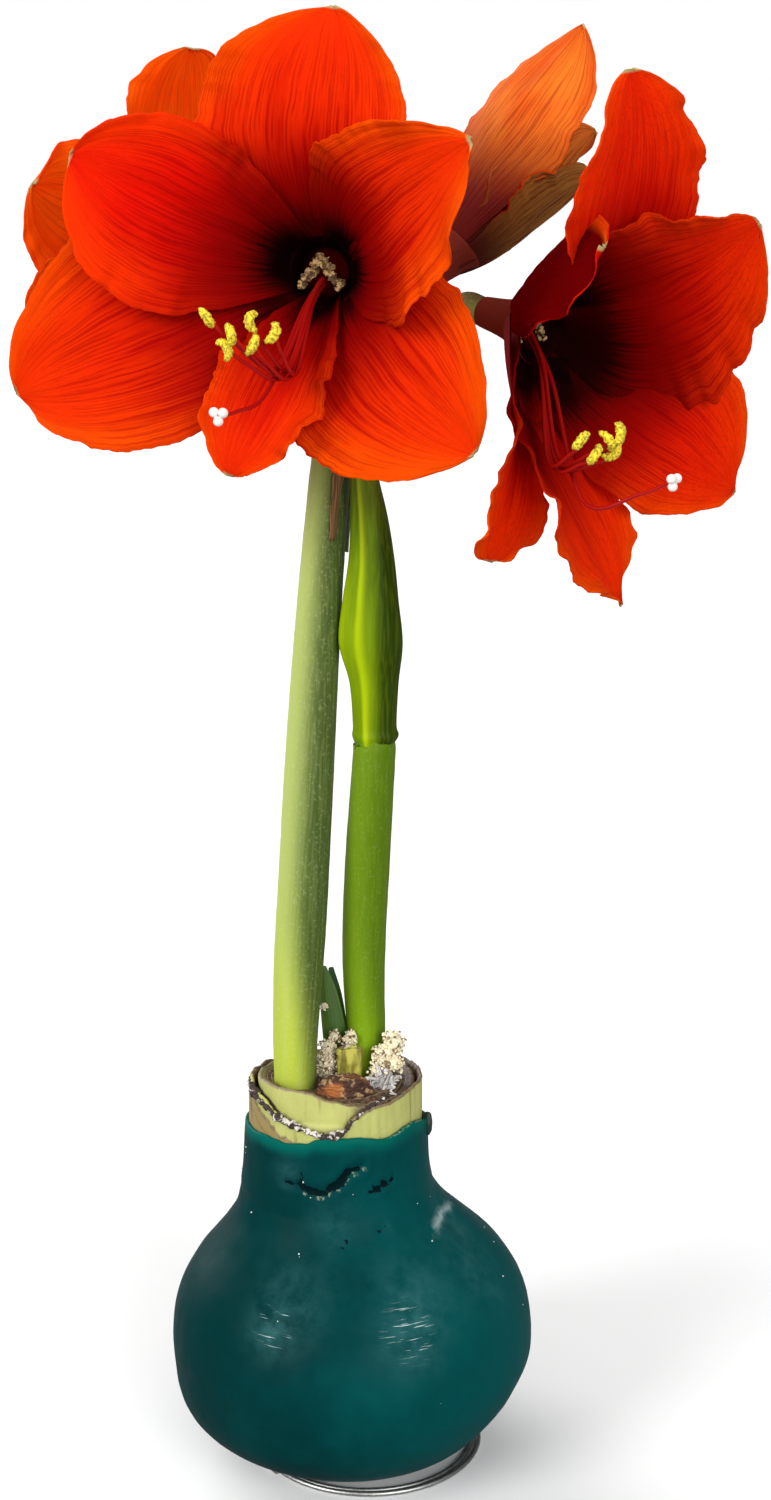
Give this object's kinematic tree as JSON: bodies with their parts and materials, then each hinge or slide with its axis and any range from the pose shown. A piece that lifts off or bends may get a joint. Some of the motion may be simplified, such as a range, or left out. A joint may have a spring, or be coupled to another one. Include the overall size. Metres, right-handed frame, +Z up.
{
  "type": "waxed amaryllis bulb",
  "caption": "Amaryllis bulb dipped in teal wax on a wire ring, with a flower stem of open red blooms and a second stem in bud.",
  "frame": {"origin": "centre of the wax coat's flat foot, on the surface that the bulb stands on", "axes": "+Z up along the stems, -Y the front, where the open bloom faces, +X to the right of the front view"},
  "size_m": [0.2032, 0.1844, 0.4165],
  "materials": {
    "wax": "deep teal dipped candle wax, satin, with cracks, pits and pale scratches",
    "bulb_scale": "fleshy yellow-green bulb scale with fine brown streaks, dry brown at the cut",
    "steel_wire": "bright drawn steel wire",
    "stem": "smooth pale green stem, finely striped, with a light bloom",
    "spathe": "bright green closed spathe with a yellow ridge",
    "petal": "orange-red velvety petal with darker veins, near black in the throat",
    "bud_petal": "orange petal back with brown veins, olive at the outer base",
    "stamen": "dark red filaments with yellow anthers and a white stigma",
    "dry_bract": "brown papery bract",
    "green_bract": "grey-green bract with a pale edge",
    "young_leaf": "dark green young leaf, slightly shiny",
    "callus": "cream crumbly callus",
    "brown_scale": "dry red-brown scale remains",
    "leaf_stub": "yellow-green cut leaf base",
    "paper_skin": "silvery papery skin with purple-grey streaks"
  },
  "bodies": {
    "root": {"wax_coat": "wax", "bulb": "bulb_scale", "wire_ring": "steel_wire", "flower_stem": "stem", "bud_stem": "stem", "bud_spathe": "spathe", "front_bloom": "petal", "right_bloom": "petal", "left_bloom": "petal", "opening_bud": "bud_petal", "front_stamens": "stamen", "right_stamens": "stamen", "left_stamens": "stamen", "brown_bract": "dry_bract", "green_bract": "green_bract", "front_leaf": "young_leaf", "back_leaf": "young_leaf", "callus": "callus", "brown_scale": "brown_scale", "leaf_stub": "leaf_stub", "paper_skin": "paper_skin"}
  },
  "joints": []
}
